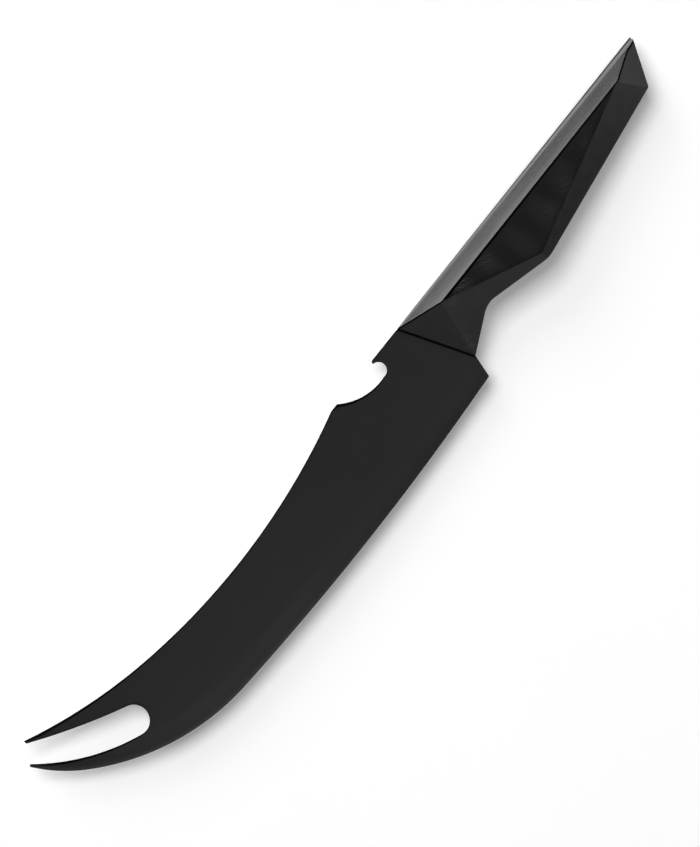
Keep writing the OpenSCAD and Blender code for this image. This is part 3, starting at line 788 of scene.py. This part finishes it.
def eased_borders():
    """Borders from the handle along spine and fork to the lower tip, with the steel on their left.

    Each comes with the widths of its easing and of its band of painted shade at all its points.
    """
    hook_in = HOOK_SHARE * HOOK_R
    hook_middle = vec(-HOOK_X - hook_in, HOOK_R - NOTCH_DEPTH + BLEND)
    hook_top = vec(-HOOK_X, hook_middle[1] + math.sqrt(HOOK_R ** 2 - hook_in ** 2))
    ramp_middle = vec(-HOOK_X - RAMP_X, RAMP_R - NOTCH_DEPTH)
    hook_low = circles_meet(hook_middle, HOOK_R, ramp_middle, RAMP_R)
    beak_middle = vec(BEAK_R - HOOK_X, -BEAK_R)
    beak_top, beak_front = vec(beak_middle[0], 0), vec(-HOOK_X, -BEAK_R)
    ramp_end = vec(ramp_middle[0] - math.sqrt(RAMP_R ** 2 - ramp_middle[1] ** 2), 0)
    hollow_end = vec(hollow_middle[0] + math.sqrt(SPINE_R ** 2 - hollow_middle[1] ** 2), 0)

    spine_land = line(spine_corner, beak_top, 1.0)
    beak = arc(beak_middle, BEAK_R, beak_top, beak_front, 0.12, 1)
    beak_side = line(beak_front, hook_top, 0.1)
    hook = arc(hook_middle, HOOK_R, hook_top, hook_low, 0.2, -1)
    ramp = arc(ramp_middle, RAMP_R, hook_low, ramp_end, 0.35, -1)
    bridge = line(ramp_end, hollow_end, 0.5)
    hollow = arc(hollow_middle, SPINE_R, hollow_end, spine_joint, 1.0, -1)
    spine_tip = arc(spine_tip_middle, SPINE_TIP_R, spine_joint, upper_tip, 0.8, -1)
    upper_end = line(upper_tip, upper_inner, 0.2)
    upper_side = arc(upper_arc, UPPER_TINE_R, upper_inner, upper_touch, 0.8, 1)
    root = arc(slot_middle, SLOT_R, upper_touch, lower_touch, 0.3, -1)
    lower_side = arc(lower_arc, LOWER_TINE_R, lower_touch, lower_inner, 0.7, -1)
    lower_end = line(lower_inner, lower_tip, 0.2)

    # Each border with the widths of its easing, and of its band of painted shade, where it starts and ends
    borders = [
        (spine_land, (0.30, 0.30), (0.35, 0.35)),
        (beak, (0.30, 0.25), (0.35, 0.10)),
        (beak_side, (0.25, 0.25), (0, 0)),
        (hook, (0.25, 0.35), (0, 0.40)),
        (ramp, (0.35, 0.85), (0.40, 1.20)),
        (bridge, (0.85, 0.40), (1.20, 0.45)),
        (hollow, (0.40, 0.50), (0.45, 0.50)),
        (spine_tip, (0.50, 1.70), (0.50, 1.20)),
        (upper_end, (0.50, 0.40), (0.60, 0.20)),
        (upper_side, (1.20, 1.20), (0, 0)),
        (root, (1.20, 0.40), (0, 0.40)),
        (lower_side, (0.40, 1.20), (0.45, 1.05)),
        (lower_end, (0.50, 0.30), (0.60, 0.20))]
    return [(path, fade(path, *ease), fade(path, *dark)) for path, ease, dark in borders]


def cutting_edge():
    """The edge from the tip of the lower tine to the heel."""
    return joined([
        arc(relief_middle, RELIEF_R, lower_tip, relief_start, 0.5, 1),
        arc(edge_tip_middle, TIP_R, relief_start, edge_joint, 0.7, 1),
        arc(belly_middle, BELLY_R, edge_joint, heel, 1.2, 1)])


def tang_outline():
    """The tang, from the lower end of the shoulder round to its upper end."""
    end = HANDLE_LEN - TANG_SHORT
    top = -CAP_H - 2 * GASKET_T - SHOULDER
    front = scale_front + GASKET_T * front_way
    clear = turned(front_way) * -2 * LAY_GAP
    neck_y, half_neck, half_end = NECK[1] + NECK_WALL, NECK_R / 2, TANG_END_H / 2
    return np.array([
        shoulder_low, front_low, front_low + 1.7 * NECK_WALL,
        (NECK[0] - half_neck, neck_y), (NECK[0] + half_neck, neck_y), (BULGE[0], BULGE[1] + PALM_WALL),
        (end - half_end, top - TANG_END_H), (end, top - half_end), (end - half_end, top),
        (CAP_NOSE, top), front, front + clear,
        line_meet(front_top + clear, front_way, shoulder_top, vec(1, 0)), shoulder_top])


def blade_guides(outline, border, ease, dark, edge):
    """Paths along the borders, and points between them, for the triangles to follow."""
    paths = [offset(border, ease * share) for share in EASE_RINGS]
    paths.append(offset(border, dark))
    paths.append(offset(edge, BARE_W))
    paths += [offset(edge, ring)[::2] for ring in GRIND_RINGS]
    # Two lines, a little shorter than the shoulder, between which it steps down to the tang
    step = turned(front_way) * STEP_RUN
    paths.append(np.array([spine_corner + 0.05 * front_way, shoulder_low - 0.01 * front_way]))
    paths.append(np.array([shoulder_top + step + 0.3 * front_way, shoulder_low + step - 0.05 * front_way]))
    columns, rows = np.arange(*GRID_X, GRID_STEP), np.arange(*GRID_Y, GRID_STEP)
    grid = np.stack(np.meshgrid(columns, rows), axis=-1).reshape(-1, 2)
    grid = grid[inside(grid, outline)]
    is_clear = (nearest(grid, edge)[0] > GRID_FROM_EDGE) & (nearest(grid, border)[0] > GRID_FROM_BORDER)
    return paths, grid[is_clear]


def behind_shoulder(flat):
    """How far points lie behind the shoulder, on the tang's side."""
    return (flat - shoulder_top) @ turned(front_way)


def blade_heights(flat, from_edge, borders):
    """Half the thickness of the blade at each point."""
    half, half_edge = BLADE_T / 2, EDGE_T / 2
    bevel = half_edge + BARE_SLOPE * from_edge
    bevel_top = half_edge + BARE_SLOPE * BARE_W
    rise = np.clip((from_edge - BARE_W) / (GRIND_H - BARE_W), 0, 1)
    ground = half - (half - bevel_top) * (1 - rise) ** 2
    height = np.where(from_edge < BARE_W, bevel, ground)
    for path, ease, _ in borders:
        gap, width = nearest(flat, path, ease)
        outwards = 1 - np.clip(gap / width, 0, 1)
        drop = EASE_SLOPE * width * (1 - np.sqrt(1 - outwards ** 2))
        height = np.minimum(height, half - drop)
    on_tang = behind_shoulder(flat) > STEP_RUN / 2
    height = np.where(on_tang, np.minimum(height, half - SHOULDER), height)
    return np.maximum(height, half_edge)


def paint_blade(bm, edge, border, dark):
    """Bare steel on the sharpened bevel, and painted shade along the borders of the spine's side: a darker
    coating where the edge walls lie in shadow.
    """
    just_below = 0.999
    middles = np.array([f.calc_center_median()[:2] for f in bm.faces])
    gap, width = nearest(middles, border, dark)
    in_front = behind_shoulder(middles) < 0
    is_bare = in_front & (nearest(middles, edge)[0] < BARE_W * just_below)
    is_dark = in_front & (gap < width * just_below)
    for f, bare_face, dark_face in zip(bm.faces, is_bare, is_dark):
        f.material_index = 1 if bare_face else 2 if dark_face else 0


def blade_mesh():
    borders, edge = eased_borders(), cutting_edge()
    border, ease, dark = [joined(parts) for parts in zip(*borders)]
    outline = np.concatenate([border, edge[1:], line(heel, shoulder_low, 1.0)[1:-1], tang_outline()])
    holes = [circle(p, SLEEVE_D / 2 + LAY_GAP, 48) for p in rivet_spots()]
    holes += [circle(p, DOWEL_D / 2 + LAY_GAP, 32) for p in dowel_spots()]
    paths, grid = blade_guides(outline, border, ease, dark, edge)
    flat, faces = fill_flat(outline, holes, paths, grid)
    from_edge = nearest(flat, edge)[0]
    height = blade_heights(flat, from_edge, borders)
    bm = plate(flat, faces, height, -height)
    # Painted sheen: the coating is lighter next to the edge, and more so towards the tip
    near_edge = 1 - np.clip(from_edge / SHEEN_W, 0, 1)
    store(bm, "painted_sheen", (near_edge * np.clip(-flat[:, 0] / SHEEN_RUN, 0, 1)) ** 2)
    paint_blade(bm, edge, border, dark)
    return bm


blade = make_object("blade_shape", blade_mesh())
shade(blade, BLADE_SMOOTH)
finish_piece(blade, "blade", "blade_coating", COATING, EDGE_STEEL, SHADE_COATING)


# Scales and grip panels

def is_upright(a, b, short=TOUCH):
    """Whether an edge, seen from above, is shorter than the given length."""
    return np.linalg.norm((a - b)[:2]) < short


def scale_mesh():
    outline = np.concatenate([
        [scale_front, front_low], rounded(front_low, neck, bulge, NECK_R),
        rounded(neck, bulge, butt_low, BULGE_R),
        [butt_low, scale_end, scale_tail_mid, scale_tail, scale_nose]])
    bm = prism(outline, 0.0, 2 * PALM_Z)
    for facet in (nose_facet, neck_facet, grip_facet, palm_facet, butt_facet):
        cut(bm, facet)
    clean(bm)
    return bm


def panel_outline(growth):
    """The front, low and rear corners of the grip panel after its sides move outwards."""
    front, low, rear = panel_sides
    return np.array([
        moved_corner(before, corner, after, -growth)
        for before, corner, after in ((rear, front, low), (front, low, rear), (low, rear, front))])


def panel_recess():
    """The room for the grip panel, open at the top."""
    hole = panel_outline(LAY_GAP)
    return prism(hole, plane_z(grip_facet, hole) - PANEL_T, 2 * PALM_Z)


def in_recess(p):
    """Whether a point is below the middle of the grip panel's height."""
    return p[2] < plane_z(grip_facet, p[:2]) - PANEL_T / 2


def scale_round(a, b):
    """How far an edge of the left scale is rounded."""
    middle = (a + b) / 2
    if max(a[2], b[2]) < TOUCH:
        return 0.0
    if away(middle, panel_sides) < 2 * LAY_GAP:
        return 0.0 if in_recess(middle) else RIM_ROUND
    if is_upright(a, b):
        return 0.0 if away(middle, scale_top) < TOUCH else SCALE_ROUND
    return FACET_ROUND


def darken_recess(scale):
    """Gives the floor of the recess the black of the bond that holds the panel."""
    hole = panel_outline(LAY_GAP)
    for face in scale.data.polygons:
        p = drawn(face.center)
        if in_recess(p) and face.normal.z > 0 and inside(p[None, :2], hole)[0]:
            face.material_index = 1


def panel_ring(inset):
    """The visual panel's rim, moved inwards, as points that end where they start."""
    front, low, rear = panel_outline(PANEL_GROW - inset)
    top_front, top_rear = [p - vec(0, gap) for p, gap in zip((front, rear), PANEL_TOP_GAPS)]
    top_way = top_rear - top_front
    front = line_meet(top_front, top_way, front, low - front)
    rear = line_meet(top_front, top_way, rear, low - rear)
    return joined([line(a, b, PANEL_POINT_STEP) for a, b in ((front, low), (low, rear), (rear, front))])


rib_turn = math.radians(RIB_ANGLE)
rib_across = vec(math.cos(rib_turn), math.sin(rib_turn))
rib_along = turned(rib_across)


def rib_phase(flat):
    return 2 * math.pi * (flat @ rib_across) / RIB_STEP


def panel_relief(flat, from_rim):
    """Broad bands across the panel, with fine ribs where the bands face the butt."""
    root = np.sqrt(BAND_STEP ** 2 + 4 * BAND_GROWTH * (flat[:, 0] - BAND_FIRST))
    phase = 2 * math.pi * (root - BAND_STEP) / (2 * BAND_GROWTH)
    bands = -BAND_RISE * np.sin(phase) * np.clip(from_rim / BAND_EASE, 0, 1)
    faces_butt = np.clip(np.cos(phase), 0, 1) ** 2
    ribs = RIB_RISE * np.sin(rib_phase(flat)) * faces_butt * np.clip(from_rim / RIB_EASE, 0, 1)
    return bands + ribs


def panel_glints(flat):
    """How much painted glint the crests of the ribs get, unevenly along each rib."""
    phase = rib_phase(flat)
    rib = np.floor(phase / (2 * math.pi))
    uneven = 1 - GLINT_DEPTH + GLINT_DEPTH * np.sin(GLINT_WAVE * (flat @ rib_along) + GLINT_SHIFT * rib)
    near = np.zeros(len(flat))
    for spot, reach, amount in GLINT_SPOTS:
        near += amount * np.exp(-((flat - vec(*spot)) ** 2).sum(axis=1) / reach ** 2)
    return near * np.clip(np.sin(phase), 0, 1) * uneven


def panel_mesh():
    """The rubber panel over a grid that follows its ribs."""
    rim = panel_ring(0)
    outline = rim[:-1]
    rows, columns = np.meshgrid(
        np.arange(*RIB_ROWS, RIB_STEP / 4), np.arange(*RIB_COLUMNS, RIB_COLUMN_STEP))
    grid = rows.reshape(-1, 1) * rib_across + columns.reshape(-1, 1) * rib_along
    grid = grid[inside(grid, outline)]
    grid = grid[nearest(grid, rim)[0] > PANEL_POINT_STEP]
    flat, faces = fill_flat(outline, [], [panel_ring(inset) for inset in PANEL_RINGS], grid)
    facet_z = plane_z(grip_facet, flat)
    top = facet_z - PANEL_SINK + panel_relief(flat, nearest(flat, rim)[0])
    bm = plate(flat, faces, top, facet_z - PANEL_T + LAY_GAP)
    # Painted shade towards the panel's low sides
    store(bm, "shade", 1 - np.clip(nearest(flat, panel_sides)[0] / PANEL_SHADE_W, 0, 1))
    # Painted glints on the crests of the ribs
    store(bm, "painted_sheen", panel_glints(flat))
    return bm


for side in ("left", "right"):
    scale = make_object("scale_shape_" + side, scale_mesh())
    subtract(scale, panel_recess())
    soften(scale, scale_round)
    shade(scale, HANDLE_SMOOTH)
    panel = make_object("grip_panel_shape_" + side, panel_mesh())
    shade(panel, HANDLE_SMOOTH)
    finish_piece(scale, "scale_" + side, "scale_plastic", PLASTIC, SEAL_RUBBER)
    darken_recess(scale)
    if side == "right":
        mirror(scale)
        mirror(panel)
    finish_piece(panel, "grip_panel_" + side, "grip_rubber", GRIP_RUBBER)


# Spine cap

def cap_mesh():
    crown = [(x * HANDLE_LEN, y * CAP_CROWN) for x, y in CROWN_SHARES]
    bm = prism(np.concatenate([cap_foot, crown[::-1]]), -2 * PALM_Z, 2 * PALM_Z)
    for side in (1, -1):
        for facet in (cap_low_facet, cap_high_facet, band_facet, crown_facet, seam_facet, cap_end_facet):
            cut(bm, facet, side)
    clean(bm)
    return bm


def cap_round(a, b):
    """How far an edge of the cap is rounded: most along its foot, where it meets the gasket."""
    lies_low = max(away(a, cap_foot), away(b, cap_foot)) < 2 * TOUCH
    return CAP_FOOT_ROUND if lies_low and not is_upright(a, b, CAP_ROUND) else CAP_ROUND


def paint_cap(cap):
    """Painted highlights and a painted dark reflection: bright metal on the crown, on the end and along the
    foot, and dark metal in the seam.
    """
    same_way = 0.9995
    for face in cap.data.polygons:
        way = vec(face.normal.x, face.normal.y, abs(face.normal.z))
        on_crown = max(crown_facet[1] @ way, cap_end_facet[1] @ way) > same_way
        # The round of the foot faces sideways, and less towards the spine than the broad face
        on_foot = way[0] < 0.1 and way[1] < 0.3 and way[2] > 0.6
        if on_crown or on_foot:
            face.material_index = 1
        elif seam_facet[1] @ way > same_way:
            face.material_index = 2


cap = make_object("cap_shape", cap_mesh())
soften(cap, cap_round, segments=4)
shade(cap, HANDLE_SMOOTH)
finish_piece(cap, "spine_cap", "cap_metal", CAP_METAL, HIGHLIGHT_METAL, DARK_REFLECTION_METAL)
paint_cap(cap)

# Pieces that are shown as the CAD has them
for node, material in (
        ("cap_gasket", SEAL_RUBBER), ("front_seal_left", SEAL_RUBBER), ("front_seal_right", SEAL_RUBBER),
        ("cap_dowels", DOWEL_STEEL), ("rivet_sleeves", BRASS), ("rivet_pins", BRASS)):
    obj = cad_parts[node]
    obj.data.materials.clear()
    obj.data.materials.append(material)


# Studio, in metres: half the floor's width, its glow near the knife and far from it, and the sky's tone
FLOOR_REACH = 12.0
GLOW_NEAR, GLOW_FAR, GLOW_START, GLOW_END = 0.30, 0.86, 0.3, 2.6
SKY_TONE = 0.26
# The photo: its turn, the drawing's place at its middle and the height that it shows
TURN = math.radians(-51.29)
AIM, SEEN_HEIGHT = (-38.94, -8.35), 0.3176
# The image's right and up directions in the part's frame
IMAGE_RIGHT = Vector((math.cos(TURN), math.sin(TURN), 0.0))
IMAGE_UP = Vector((-math.sin(TURN), math.cos(TURN), 0.0))


def floor_material():
    """Matte white that keeps the shadow, with a glow for what sees the floor itself."""
    m, t, where = new_material("studio_floor")
    tone = t.spread(t.noise(where, scale=6.0, detail=2.0), 0.85, 0.87)
    colour = t.add("ShaderNodeCombineColor", {0: tone, 1: tone, 2: tone}).outputs[0]
    matte = t.add("ShaderNodeBsdfDiffuse", {"Color": colour}).outputs[0]
    path = t.add("ShaderNodeLightPath").outputs
    seen = t.maths("MAXIMUM", path["Is Camera Ray"], path["Is Glossy Ray"])
    seen = t.maths("MAXIMUM", seen, path["Is Transmission Ray"])
    from_middle = t.distance(where, (0.0, 0.0, 0.0))
    glow = t.maths("MULTIPLY", seen, t.spread(from_middle, GLOW_NEAR, GLOW_FAR, GLOW_START, GLOW_END))
    light = t.add("ShaderNodeEmission", {"Color": grey(1.0), "Strength": glow}).outputs[0]
    both = t.add("ShaderNodeAddShader", {0: matte, 1: light}).outputs[0]
    t.add("ShaderNodeOutputMaterial", {"Surface": both})
    return m


ground = bmesh.new()
for x, y in ((-1, -1), (1, -1), (1, 1), (-1, 1)):
    ground.verts.new((x * FLOOR_REACH, y * FLOOR_REACH, 0.0))
ground.faces.new(ground.verts[:])
floor_mesh = bpy.data.meshes.new("studio_floor")
ground.to_mesh(floor_mesh)
ground.free()
floor_mesh.materials.append(floor_material())
floor = add_object("studio_floor", floor_mesh)

scene = bpy.context.scene
scene.view_settings.view_transform = "Standard"
world = bpy.data.worlds.new("studio")
scene.world = world
world.use_nodes = True
w = Nodes(world.node_tree)
sky = w.add("ShaderNodeBackground", {"Color": grey(SKY_TONE)}).outputs[0]
w.add("ShaderNodeOutputWorld", {"Surface": sky})
world.cycles_visibility.diffuse = False


def area_light(name, right, up, elevation, distance, size, radiance, shines=True, lights=True):
    """A square softbox that faces the origin, placed by its way right and up in the image.

    One that doesn't shine shows in no reflection, and one that doesn't light shows only there.
    """
    e = math.radians(elevation)
    level = (IMAGE_RIGHT * right + IMAGE_UP * up).normalized()
    way = level * math.cos(e) + Vector((0, 0, math.sin(e)))
    data = bpy.data.lights.new(name, "AREA")
    data.shape = "SQUARE"
    data.size = size
    data.energy = radiance * math.pi * size * size
    lamp = add_object(name, data)
    lamp.location = way * distance
    lamp.rotation_mode = "QUATERNION"
    lamp.rotation_quaternion = (-way).to_track_quat("-Z", "Y")
    lamp.visible_camera = False
    lamp.visible_glossy = shines
    lamp.visible_diffuse = lights


# Two lamps light the knife and the floor
area_light("key", -0.8, 1.0, elevation=68.0, distance=4.8, size=2.55, radiance=8.75, shines=False)
area_light("side", -0.8, 1.0, elevation=30.0, distance=5.1, size=2.7, radiance=4.15, shines=False)
# Five cards show only in the facets that mirror them
area_light("butt_fill", 1.0, 0.96, elevation=55.0, distance=1.6, size=0.96, radiance=1.75, lights=False)
area_light("edge_fill", 0.11, -1.0, elevation=68.5, distance=0.65, size=0.15, radiance=4.3, lights=False)
area_light("cap_card", -0.9, 1.0, elevation=33.0, distance=0.51, size=0.24, radiance=1.75, lights=False)
area_light("palm_card", 1.0, 0.767, elevation=24.15, distance=0.2332, size=0.05, radiance=0.95, lights=False)
area_light("neck_card", 1.0, 0.17, elevation=47.1, distance=0.138, size=0.05, radiance=0.3, lights=False)

# The camera looks straight down, as in the photo
camera_data = bpy.data.cameras.new("camera")
camera_data.lens = 200.0
camera_data.sensor_width = 36.0
camera_data.clip_end = 20.0
camera = add_object("camera", camera_data)
camera_height = SEEN_HEIGHT * camera_data.lens / camera_data.sensor_width
camera.location = laid((*AIM, BLADE_T / 2)) + vec(0, 0, camera_height)
camera.rotation_euler = (0.0, 0.0, TURN)
scene.camera = camera
